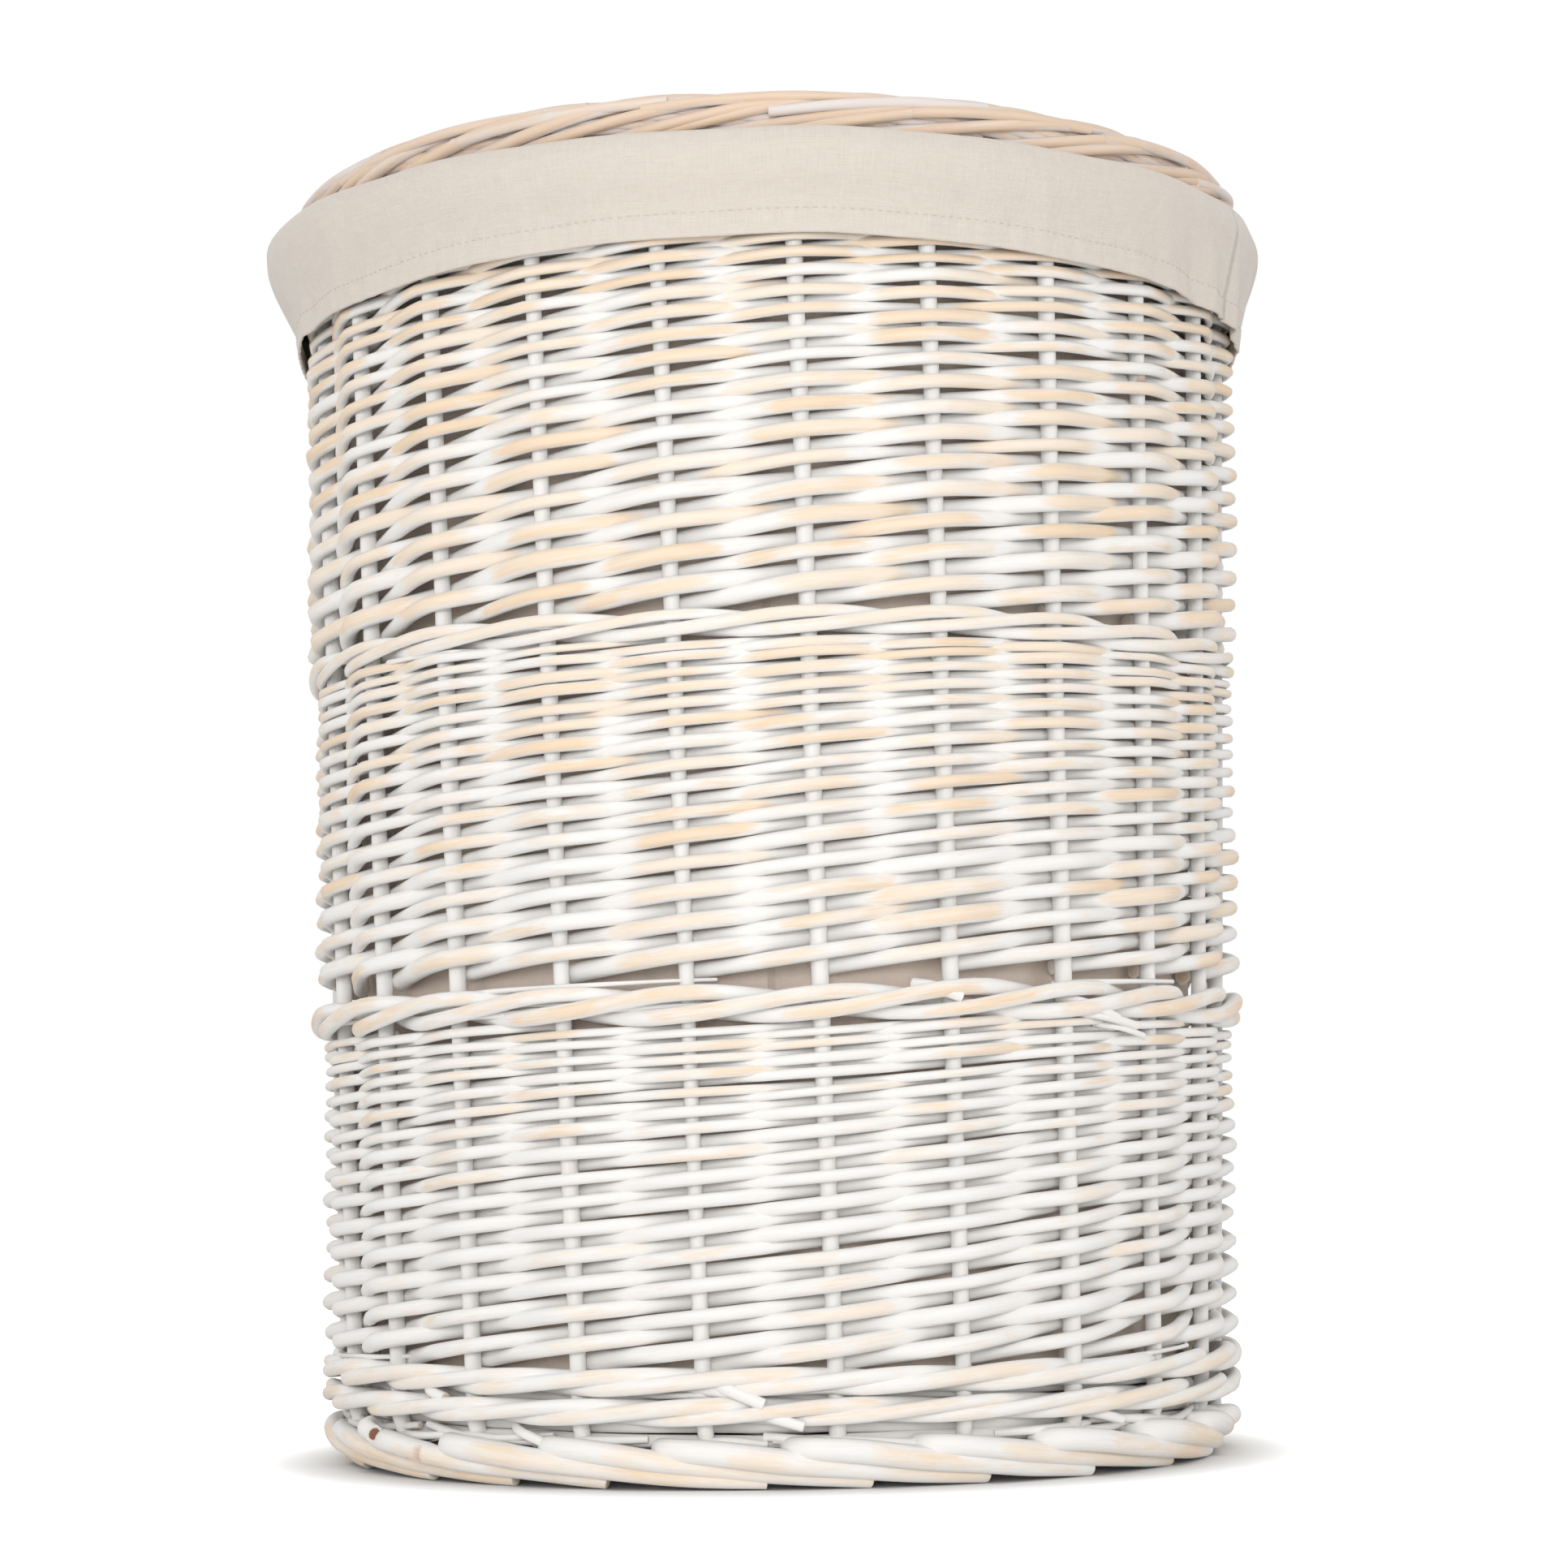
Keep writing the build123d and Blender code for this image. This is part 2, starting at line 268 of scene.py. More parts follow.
# the whole weave wavers a little, and every band of it wavers together
WAVES = [
    (bends, rng.uniform(0, TAU), rng.uniform(-9, 9), size * MM)
    for bends, size in ((1, 0.9), (2, 0.8), (5, 0.6))
]


def soften(values, window):
    """A closed line of values, averaged over a window."""
    around = np.concatenate([values[-window - 1:-1], values, values[1:window + 1]])
    return np.convolve(around, np.ones(window) / window, "same")[window:-window]


def weave_wave(place, height):
    """How far the rows stray up or down at a place, which fades to nothing at the floor."""
    turn = place * STEP
    stray = sum(size * np.sin(bends * turn + phase + lean * height) for bends, phase, lean, size in WAVES)
    return stray * smooth(0.02, 0.12, height)


def off_stakes(place, height, outward):
    """Points outward metres from the stakes' circle, and the way out at each."""
    x, y = on_stake(place, height)
    line = np.stack([x, y, height], 1)
    radial = unit(line * [1, 1, 0])
    return line + radial * outward[:, None], radial


def wall_line(place, height, outward):
    """Points of a rod in the wall, which strays up and down with the weave."""
    return off_stakes(place, height + weave_wave(place, height), outward)


def turned(around, out, height):
    """Points at angles round the basket, counted from its front."""
    return np.stack(np.broadcast_arrays(out * np.sin(around), -out * np.cos(around), height), -1)


def ring_line(around, out, height):
    """Points at angles round the basket from its front, and the way out at each."""
    return turned(around, out, height), turned(around, 1.0, 0.0)


def near_zero(angle):
    """The same angle, between minus half a turn and half a turn."""
    return np.mod(angle + math.pi, TAU) - math.pi


# ---------------------------------------------------------------- meshes
def ring_faces(index):
    """Faces of a grid of points, each row of which is a closed ring."""
    nxt = np.roll(index, -1, axis=1)
    return np.stack([index[:-1], nxt[:-1], nxt[1:], index[1:]], 2).reshape(-1, 4).tolist()


def smooth_mesh(name, points, faces, marks, own_name, own):
    """A mesh that keeps marks, and its own place in the rod or cloth, at each point."""
    mesh = bpy.data.meshes.new(name)
    mesh.from_pydata(points.reshape(-1, 3).tolist(), [], faces)
    mesh.polygons.foreach_set("use_smooth", np.ones(len(mesh.polygons), bool))
    for key, values in marks.items():
        layer = mesh.attributes.new(key, "FLOAT", "POINT")
        layer.data.foreach_set("value", np.concatenate(values).astype(np.float32))
    layer = mesh.attributes.new(own_name, "FLOAT_VECTOR", "POINT")
    layer.data.foreach_set("vector", own.astype(np.float32).ravel())
    mesh.update()
    return mesh


def place_piece(name, mesh, body, material, nodes):
    """Links a mesh as a piece of the object, riding on its body and standing for CAD nodes."""
    mesh.materials.append(material)
    piece = bpy.data.objects.new(name, mesh)
    bpy.context.scene.collection.objects.link(piece)
    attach(piece, body)
    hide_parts(*nodes)
    return piece


class Rods:
    """A bundle of round rods, made into one mesh.

    Each point keeps its place in the straightened rod, for the grain, how far the surface is
    rubbed, a shade of the rod's own, and marks for cut ends and knots.
    """

    def __init__(self):
        self.points, self.faces, self.straight = [], [], []
        self.rub, self.shade, self.cut, self.knot = [], [], [], []
        self.count = 0

    def add(self, line, radius, face_out, rub, sides=ROD_SIDES, knots=0.0, pith=1.0):
        """A rod along line. face_out points to the side that gets rubbed, as rub allows.

        knots is how many come in a metre, and pith above 1 makes its cut ends dark.
        """
        n = len(line)
        radius = np.broadcast_to(radius, (n,)).copy()
        radius *= 1 + wander(n, 6, 0.05)
        tangent = unit(np.gradient(line, axis=0))
        side = unit(np.cross(tangent, face_out))
        front = np.cross(side, tangent)
        along = np.concatenate([[0], np.cumsum(np.linalg.norm(np.diff(line, axis=0), axis=1))])
        knot = np.zeros(n)
        for at in rng.uniform(0, along[-1], rng.poisson(knots * along[-1])):
            knot += np.exp(-(((along - at) / (2.6 * MM)) ** 2))
        radius *= 1 + 0.10 * np.minimum(knot, 1)
        turn = np.arange(sides) / sides * TAU
        ahead, aside = np.cos(turn), np.sin(turn)
        ring = ahead[None, :, None] * front[:, None] + aside[None, :, None] * side[:, None]
        flat = 1 + 0.03 * np.cos(2 * turn + rng.uniform(0, TAU))
        wall = line[:, None] + ring * (radius[:, None] * flat[None])[:, :, None]
        offset = rng.uniform(0, 40)
        own = np.stack(np.broadcast_arrays(
            along[:, None] + offset,
            radius[:, None] * ahead,
            radius[:, None] * aside,
        ), 2)
        spot = rng.uniform(-1.2, 1.2)
        worn = rub[:, None] if np.ndim(rub) else rub
        worn = np.broadcast_to(worn, (n, sides)) * smooth(-0.25, 0.95, ahead[None])
        shade = rng.uniform(0, 1)
        index = self.count + np.arange(n * sides).reshape(n, sides)
        self._store(wall, own, worn, shade, 0.0, knot[:, None] * smooth(0.2, 0.9, np.cos(turn - spot)))
        self.faces.extend(ring_faces(index))
        for end in (0, -1):
            # a cut end is its own ring, a centre ring drawn in a little, and a middle
            first = self.count
            rim, away = wall[end], tangent[end] * (-1 if end == 0 else 1)
            middle = line[end] + away * radius[end] * 0.12
            inner = middle + (rim - line[end]) * 0.35
            cap = np.concatenate([rim, inner, middle[None]])
            cap_own = np.concatenate([own[end], own[end] * [1, 0.35, 0.35], own[end][:1] * [1, 0, 0]])
            m = len(cap)
            cut = np.concatenate([np.full(sides, 0.6), np.full(sides + 1, pith)])
            self._store(cap[None], cap_own[None], np.zeros((1, m)), shade, cut[None], np.zeros((1, m)))
            a = first + np.arange(sides)
            b = np.roll(a, -1)
            out = np.stack([a, b, b + sides, a + sides], 1)
            tip = np.stack([a + sides, b + sides, np.full(sides, first + m - 1)], 1)
            if end == 0:
                out, tip = out[:, ::-1], tip[:, ::-1]
            self.faces.extend(out.tolist())
            self.faces.extend(tip.tolist())

    def _store(self, points, own, rub, shade, cut, knot):
        """Keeps a grid of points with its marks."""
        grid = points.shape[:2]
        self.points.append(points.reshape(-1, 3))
        self.straight.append(own.reshape(-1, 3))
        marks = ((self.rub, rub), (self.shade, shade), (self.cut, cut), (self.knot, knot))
        for kept, values in marks:
            kept.append(np.broadcast_to(values, grid).reshape(-1))
        self.count += grid[0] * grid[1]

    def build(self, name, body, material, nodes):
        """The finished piece."""
        marks = {"rub": self.rub, "shade": self.shade, "cut": self.cut, "knot": self.knot}
        points, own = np.concatenate(self.points), np.concatenate(self.straight)
        mesh = smooth_mesh(name, points, self.faces, marks, "straight", own)
        return place_piece(name, mesh, body, material, nodes)


# ---------------------------------------------------------------- materials
class Nodes:
    """A short way to write a material's nodes."""

    def __init__(self, name):
        self.material = bpy.data.materials.new(name)
        self.material.use_nodes = True
        self.tree = self.material.node_tree
        self.shader = self.tree.nodes["Principled BSDF"]

    def put(self, kind, settings=(), **inputs):
        """Adds a node: settings are its own properties, inputs its sockets, by name."""
        node = self.tree.nodes.new(kind)
        for key, value in dict(settings).items():
            setattr(node, key, value)
        for key, value in inputs.items():
            self.set(node, key.replace("_", " "), value)
        return node

    def set(self, node, key, value):
        """Links or sets a socket, by its name or by # and its number."""
        socket = node.inputs[int(key[1:]) if key[0] == "#" else key]
        if isinstance(value, bpy.types.NodeSocket):
            self.tree.links.new(value, socket)
        else:
            socket.default_value = value

    def named(self, key, output="Fac"):
        """A value that the mesh holds at each point."""
        return self.put("ShaderNodeAttribute", {"attribute_name": key}).outputs[output]

    def math(self, operation, a, b=0.0):
        """One sum or function of one or two values."""
        node = self.put("ShaderNodeMath", {"operation": operation})
        self.set(node, "#0", a)
        self.set(node, "#1", b)
        return node.outputs[0]

    def spread(self, value, size):
        """A noise centred on nothing, times size."""
        return self.math("MULTIPLY", self.math("SUBTRACT", value, 0.5), size)

    def scaled(self, vector, scale):
        """A vector times a number of its own for each direction."""
        node = self.put("ShaderNodeVectorMath", {"operation": "MULTIPLY"})
        self.set(node, "#0", vector)
        self.set(node, "#1", scale)
        return node.outputs[0]

    def noise(self, vector, detail=2.0, rough=0.5, distortion=0.0):
        node = self.put("ShaderNodeTexNoise", Vector=vector, Scale=1.0, Detail=detail,
                        Roughness=rough, Distortion=distortion)
        return node.outputs["Fac"]

    def ramp(self, value, low, high, out_low=0.0, out_high=1.0):
        """A smooth step of value from low to high."""
        node = self.put("ShaderNodeMapRange", {"interpolation_type": "SMOOTHSTEP"})
        for key, number in zip(("Value", "From Min", "From Max", "To Min", "To Max"),
                               (value, low, high, out_low, out_high)):
            self.set(node, key, number)
        return node.outputs[0]

    def mix(self, share, a, b):
        """Colour a, with a share of colour b."""
        node = self.put("ShaderNodeMix", {"data_type": "RGBA"})
        self.set(node, "#0", share)
        self.set(node, "#6", a)
        self.set(node, "#7", b)
        return node.outputs[2]

    def bump(self, height, distance, strength=1.0, below=None):
        node = self.put("ShaderNodeBump", Height=height, Distance=distance, Strength=strength)
        if below is not None:
            self.set(node, "Normal", below)
        return node.outputs["Normal"]


def willow(name, rubbed=1.0, warm=0.5, grain_from="straight", aged=0.0):
    """Peeled willow, whitewashed and rubbed back, with grain along the rod.

    rubbed is how much paint has gone from the proud parts, warm the depth of the wood's
    colour, and aged how far the whole is darkened. CAD rods have no straightened places, so
    theirs come from their position.
    """
    n = Nodes(name)
    if grain_from == "straight":
        where = n.named("straight", "Vector")
    else:
        where = n.put("ShaderNodeNewGeometry").outputs["Position"]
    rub = n.named("rub")
    shade = n.named("shade")
    streaks = n.noise(n.scaled(where, (60, 1500, 1500)), detail=3, rough=0.6)
    patches = n.noise(n.scaled(where, (48, 210, 210)), detail=3, rough=0.6, distortion=0.3)
    islands = n.noise(n.scaled(where, (22, 75, 75)), detail=2, rough=0.45)
    tone = n.noise(n.scaled(where, (16, 260, 260)), detail=2, rough=0.5)
    # how bare the wood is: rubbed crests, broken by patches where the paint holds
    bare = n.math("MULTIPLY", rub, rubbed)
    for noise, size in ((patches, 0.75), (islands, 0.85), (streaks, 0.25)):
        bare = n.math("ADD", bare, n.spread(noise, size))
    bare = n.ramp(bare, 0.38, 0.82)
    deep = n.math("ADD", n.math("MULTIPLY", tone, 0.9), n.math("MULTIPLY", shade, 0.5))
    deep = n.ramp(deep, 0.45, 1.15 - 0.3 * warm)
    wood = n.mix(deep, PALE_WOOD, DEEP_WOOD)
    wood = n.mix(n.ramp(streaks, 0.45, 0.80, 0, 0.28), wood, WOOD_GRAIN)
    paint = n.mix(n.ramp(streaks, 0.40, 0.75, 0, 0.40), PAINT, PAINT_GRAIN)
    paint = n.mix(n.ramp(patches, 0.55, 0.80, 0, 0.45), paint, YELLOWED_PAINT)
    thin = n.mix(0.42, paint, wood)
    colour = n.mix(n.ramp(bare, 0.0, 0.35), paint, thin)
    colour = n.mix(n.ramp(bare, 0.30, 1.0, 0, 0.92), colour, wood)
    cut = n.named("cut")
    sawn = n.math("MULTIPLY", n.ramp(cut, 0.3, 0.95), n.ramp(shade, 0.35, 0.85, 0.2, 1.0))
    colour = n.mix(sawn, colour, SAWN_WOOD)
    colour = n.mix(aged, colour, AGED_WOOD)
    colour = n.mix(n.ramp(cut, 1.1, 1.5), colour, PITH)
    knot = n.named("knot")
    colour = n.mix(n.ramp(knot, 0.35, 1.0, 0, 0.75), colour, KNOT)
    n.set(n.shader, "Base Color", colour)
    n.set(n.shader, "Roughness", n.ramp(bare, 0, 1, 0.66, 0.55))
    n.set(n.shader, "Specular IOR Level", 0.22)
    fine = n.bump(streaks, 0.10 * MM, 0.55)
    proud = n.math("SUBTRACT", patches, bare)
    n.set(n.shader, "Normal", n.bump(proud, 0.10 * MM, 0.5, below=fine))
    return n.material


def cotton(name, depth=0.0):
    """Unbleached cotton in a plain weave, with slubs, laid out by the cloth's own lengths.

    depth, from 0 to 1, mixes in a warmer, deeper colour: painted warm shade for the bag, whose cloth is
    seen in shade through the weave.
    """
    n = Nodes(name)
    cloth = n.named("cloth", "Vector")
    split = n.put("ShaderNodeSeparateXYZ", Vector=cloth)
    across, up = split.outputs["X"], split.outputs["Y"]
    warp = n.math("SINE", n.math("MULTIPLY", across, THREADS_PER_METRE * math.pi))
    weft = n.math("SINE", n.math("MULTIPLY", up, THREADS_PER_METRE * math.pi))
    weave = n.math("MULTIPLY", warp, weft)
    slub_up = n.noise(n.scaled(cloth, (1500, 90, 1)), detail=2, rough=0.6)
    slub_across = n.noise(n.scaled(cloth, (70, 1500, 1)), detail=2, rough=0.6)
    mottle = n.noise(n.scaled(cloth, (160, 160, 1)), detail=3, rough=0.6)
    slub = n.math("ADD", slub_up, slub_across)
    colour = n.mix(n.ramp(slub, 0.55, 1.45), COTTON_DULL, COTTON_LIGHT)
    colour = n.mix(n.ramp(mottle, 0.35, 0.70, 0, 0.30), colour, COTTON_MOTTLE)
    colour = n.mix(n.ramp(weave, -0.9, 0.9, 0.0, 0.18), colour, COTTON_GAPS)
    # painted warm shade, mixed in by depth
    colour = n.mix(depth, colour, COTTON_WARM_SHADE)
    n.set(n.shader, "Base Color", colour)
    n.set(n.shader, "Roughness", 0.88)
    n.set(n.shader, "Specular IOR Level", 0.25)
    n.set(n.shader, "Sheen Weight", 0.25)
    n.set(n.shader, "Sheen Roughness", 0.5)
    coarse = n.bump(slub, 0.12 * MM, 0.6)
    n.set(n.shader, "Normal", n.bump(weave, 0.10 * MM, 0.45, below=coarse))
    return n.material


def thread(name):
    """Sewing thread of much the same colour as the cotton."""
    n = Nodes(name)
    where = n.put("ShaderNodeNewGeometry").outputs["Position"]
    twist = n.noise(n.scaled(where, (1800, 1800, 1800)), detail=1)
    n.set(n.shader, "Base Color", n.mix(twist, THREAD_DULL, THREAD_LIGHT))
    n.set(n.shader, "Roughness", 0.8)
    return n.material


# ---------------------------------------------------------------- the wall of the basket
def zigzag(spaces):
    """-1 behind each even stake and 1 before each odd one, and nearly straight between."""
    part = np.mod(spaces, 2)
    return 0.35 * -np.cos(spaces * math.pi) + 0.65 * (1 - 2 * np.abs(part - 1))


def side_weavers(bundle, first_row, top, levels):
    """Randing: one weaver to a stake, each in front of one stake and behind the next.

    All climb together by less and less, because a weaver thins from butt to tip. A weaver
    starts behind its stake at first_row and ends behind another near top.
    """
    count = levels * STEPS_PER_SPACE + 1
    spaces = np.linspace(0, levels, count)
    share = spaces / levels
    drop = (1 - TIP_RISE_SHARE) / 2
    climb = (share - drop * share**2) / (1 - drop)
    for weaver in range(STAKES):
        width = rng.uniform(0.86, 1.14)
        radius = BUTT_DIAMETER / 2 * width * (1 - (1 - TIP_SHARE) * share)
        height = first_row + (top - first_row) * climb
        height = height + wander(count, 11, 0.75 * MM)
        outward = zigzag(spaces) * (STAKE_RADIUS + radius) + wander(count, 9, 0.35 * MM)
        place = weaver + spaces + wander(count, 14, 0.02)
        line, radial = wall_line(place, height, outward)
        warmth = 0.42 + 0.64 * height / STAKE_HEAD[2]
        shift = rng.normal(0, 0.10) + wander(count, 20, 0.16)
        worn = zigzag(spaces + shift)
        rub = smooth(-0.75, 0.55, worn) * warmth
        rub = rub * (rng.uniform(0.80, 1.15) + wander(count, 12, 0.22))
        bundle.add(line, radius, radial, rub, knots=0.12)


def wale(bundle, bottom, top, radius, rounds=1, proud=0.0):
    """Three-rod wale: in front of two stakes, behind one, each stroke over the last."""
    layer = (top - bottom) / rounds
    lift = (layer - 2 * radius) / 2
    count = 3 * STAKES * STEPS_PER_SPACE + 1
    spaces = np.linspace(0, 3 * STAKES, count)
    stroke = np.mod(spaces, 3)
    behind = np.minimum(stroke, 3 - stroke)
    side = 1 - 2 * np.exp(-((behind / 0.6) ** 2))
    # out under the stroke before it, up over its tail, and down again behind the third stake
    rise = np.interp(stroke, WALE_STROKE_AT, WALE_STROKE_RISE)
    for level in range(rounds):
        centre = bottom + layer * (level + 0.5)
        height = centre + soften(rise, 5) * lift
        height = height + wander(count, 20, 0.35 * MM)
        outward = side * (STAKE_RADIUS + radius) + proud * smooth(0, 1, side)
        outward = outward + wander(count, 13, 0.3 * MM)
        place = spaces + level * 1.4 + wander(count, 15, 0.025)
        line, radial = wall_line(place, height, outward)
        size = radius * (1 + wander(count, 40, 0.07))
        rub = smooth(-0.1, 0.8, side) * (0.75 + 0.3 * centre / STAKE_HEAD[2])
        bundle.add(line, size, radial, rub, sides=THICK_ROD_SIDES, knots=0.2)


def cut_ends(bundle, low, high):
    """Cut ends of wale rods that poke out between the strokes, in one band."""
    for place, height, length, drop, outward, radius in CUT_ENDS:
        if not low <= height * MM < high:
            continue
        spacing = stake_circle(height * MM) * STEP
        knots = np.array([
            (0, outward - 9, height, radius),
            (length * 0.4, outward - 1.5, height - drop * 0.35, radius),
            (length, outward, height - drop, radius * 0.95),
        ]) * MM
        path = through(knots, 2.5 * MM)
        line, radial = wall_line(place + path[:, 0] / spacing, path[:, 2], path[:, 1])
        bundle.add(line, path[:, 3], radial, 0.45, pith=1.0 + (path[0, 3] > PITH_SHOWS))


def make_side(name, first_gap, levels, material):
    """One block of randing between two wales."""
    low, high, _ = band(name)
    bundle = Rods()
    side_weavers(bundle, low + first_gap, high, levels)
    bundle.build("weave_" + name, "basket", material, [name])


def thin_strays(bundle, low, high, count):
    """Thin tips of rods that run along with a wale and end behind a stake."""
    for _ in range(count):
        start, length = rng.uniform(0, STAKES), rng.uniform(1.1, 2.6)
        spaces = np.linspace(0, length, int(length * STEPS_PER_SPACE) + 2)
        height = rng.uniform(low, high) + spaces / length * rng.uniform(-3, 5) * MM
        outward = np.interp(spaces / length, (0, 0.15, 0.85, 1), (-4, 3.5, 4.5, -3)) * MM
        line, radial = wall_line(start + spaces, height, outward)
        radius = rng.uniform(1.1, 1.7) * MM * (1 - 0.4 * spaces / length)
        bundle.add(line, radius, radial, 0.45, sides=8)


def make_wale(name, radius, rounds=1, proud=0.0, clear=0.0):
    """A wale band, which may stay clear of the bottom of its CAD ring."""
    low, high, _ = band(name)
    low += clear
    bundle = Rods()
    thin_strays(bundle, low, high, 12)
    wale(bundle, low, high, radius, rounds, proud)
    cut_ends(bundle, low - 5 * MM, high)
    bundle.build("weave_" + name, "basket", WILLOW_WALE, [name])


def make_foot():
    """The foot: each stake's end comes out between two others, runs down outside the next
    ones and ends on the floor."""
    low, _, _ = band("foot_border")
    spacing = stake_circle(low) * STEP
    bundle = Rods()
    for stake in range(STAKES):
        knots = np.array(FOOT_ROD) * [spacing, MM, MM, MM]
        knots[1:, 0] += rng.uniform(-0.05, 0.05) * spacing
        knots[-1, 0] += rng.uniform(-0.25, 0.06) * spacing
        knots[:, 1] += rng.uniform(-0.8, 0.8) * MM
        knots[:, 3] *= rng.uniform(0.92, 1.08)
        path = through(knots, 3.2 * MM)
        count = len(path)
        radius = path[:, 3]
        height = np.maximum(path[:, 2] + wander(count, 8, 0.4 * MM), radius)
        outward = path[:, 1] + wander(count, 8, 0.4 * MM)
        line, radial = off_stakes(stake + path[:, 0] / spacing, height, outward)
        rub = smooth(-0.4, 0.5, path[:, 0] / spacing) * rng.uniform(0.55, 1.05)
        bundle.add(line, radius, radial, rub, sides=THICK_ROD_SIDES + 2, knots=0.4)
    fill_foot(bundle, spacing)
    bundle.build("weave_foot_border", "basket", WILLOW_FOOT, ["foot_border"])


def fill_foot(bundle, spacing):
    """Rounds behind the base wale, and odd thin rods, in the gap above the foot."""
    place = np.linspace(0, STAKES, STAKES * STEPS_PER_SPACE + 1)
    for outward, level in FILLER_ROUNDS:
        swing = outward * MM + 1.5 * MM * np.cos(place * math.pi * 1.5)
        line, radial = wall_line(place, level * MM + wander(len(place), 9, 0.8 * MM), swing)
        bundle.add(line, FILLER_ROD_RADIUS, radial, 0.15)
    for _ in range(40):
        start = rng.uniform(0, STAKES)
        length = rng.uniform(0.5, 1.4)
        knots = np.array([
            (0, -3, rng.uniform(17, 24), 1.9),
            (length * 0.5, 1.5, rng.uniform(18, 22), 1.9),
            (length, -2, rng.uniform(16, 24), 1.5),
        ]) * [spacing, MM, MM, MM]
        path = through(knots, 5 * MM)
        line, radial = off_stakes(start + path[:, 0] / spacing, path[:, 2], path[:, 1])
        bundle.add(line, path[:, 3], radial, 0.2)


def rope_border(bundle, circle, middle, half, strokes, radius, span, start=-130, stop=150):
    """A rolled border: each rod comes up outside, over the top, and ends inside further on.

    half is its half width and half height, and start and stop are angles round its section.
    """
    half_width, half_height = half
    for stroke in range(strokes):
        length = span * rng.uniform(0.90, 1.12)
        count = int(length * 7)
        run = np.linspace(0, 1, count)
        turn = np.radians(start + rng.uniform(-8, 8) + (stop - start) * run)
        paired = -0.22 if stroke % 2 else 0.22
        spaces = stroke + paired + run * length + rng.uniform(-0.18, 0.18)
        around = spaces * TAU / strokes
        grow = 1 + rng.uniform(-0.10, 0.06)
        out = circle + grow * half_width * np.cos(turn) + wander(count, 8, 0.5 * MM)
        height = middle + grow * half_height * np.sin(turn) + wander(count, 8, 0.5 * MM)
        line, radial = ring_line(around, out, height)
        face = unit(radial * np.cos(turn)[:, None] + np.array([0, 0, 1.0]) * np.sin(turn)[:, None])
        rub = smooth(-0.75, 0.1, np.cos(turn) + 0.3 * np.sin(turn)) * rng.uniform(0.7, 1.25)
        size = radius * rng.uniform(0.84, 1.14) * (1 - 0.22 * run)
        bundle.add(line, size, face, rub, sides=THICK_ROD_SIDES, knots=0.6)


def border_core(bundle, circle, middle, reach, strokes, radius, span):
    """The rods inside a rolled border, which cross under the outer ones the other way."""
    for stroke in range(strokes):
        count = int(span * 8)
        run = np.linspace(0, 1, count)
        turn = np.radians(95 - 200 * run + rng.uniform(-15, 15))
        around = (stroke + run * span + rng.uniform(-0.2, 0.2)) * TAU / strokes
        line, radial = ring_line(around, circle + reach * np.cos(turn), middle + reach * np.sin(turn))
        size = radius * rng.uniform(0.85, 1.15)
        bundle.add(line, size, radial, 0.55 * rng.uniform(0.6, 1.2), knots=0.4)


def odd_rods(bundle, circle, middle, half, strokes):
    """Rods laid along the outside of a rolled border, between its strokes, with cut ends."""
    for place in np.arange(0, strokes, 2.6):
        span = rng.uniform(3.0, 5.2)
        count = int(span * 7)
        run = np.linspace(0, 1, count)
        turn = np.radians(rng.uniform(-20, 20) + rng.uniform(25, 60) * run)
        tucked = smooth(0.0, 0.25, run) * smooth(1.0, 0.55, run)
        reach = half + (0.2 + 1.5 * tucked) * MM + wander(count, 8, 0.4 * MM)
        around = (place + rng.uniform(-0.6, 0.6) + run * span) * TAU / strokes
        line, radial = ring_line(around, circle + reach * np.cos(turn), middle + reach * np.sin(turn))
        size = LID_ROD_RADIUS * rng.uniform(0.78, 0.96)
        bundle.add(line, size, radial, rng.uniform(0.3, 0.9), sides=THICK_ROD_SIDES)


def make_rim():
    """The border under the cuff, which stays clear of the cloth."""
    low, high, outside = band("rim_border")
    middle = (low + high) / 2
    circle = stake_circle(middle)
    half = (outside - circle - RIM_ROD_RADIUS - 3.2 * MM, (high - low) / 2 - RIM_ROD_RADIUS)
    bundle = Rods()
    rope_border(bundle, circle, middle, half, 2 * STAKES, RIM_ROD_RADIUS, RIM_BORDER_SPAN)
    bundle.build("weave_rim_border", "basket", WILLOW_WALE, ["rim_border"])


def make_stakes():
    """The side stakes, each a little uneven, which bend in and go down behind the foot."""
    count = 60
    height = np.linspace(STAKE_END, STAKE_HEAD[2], count)
    for number, node in enumerate(stake_nodes):
        foot, head = end_centres(node)
        share = (height - foot[2])[:, None] / (head - foot)[2]
        line = foot + (head - foot) * share
        line = line - unit(line * [1, 1, 0]) * (smooth(26 * MM, STAKE_END, height) * 6 * MM)[:, None]
        stray = [wander(count, 12, 0.25 * MM), wander(count, 12, 0.25 * MM), np.zeros(count)]
        line = line + np.stack(stray, 1)
        radial = unit(line * [1, 1, 0])
        radius = STAKE_RADIUS * rng.uniform(0.95, 1.04)
        rub = np.full(count, rng.uniform(0.05, 0.22)) + wander(count, 5, 0.12)
        bundle = Rods()
        bundle.add(line, radius, radial, rub, sides=THICK_ROD_SIDES, knots=1.0)
        bundle.build(f"stake_{number + 1:02d}", "basket", WILLOW_STAKE, [node])


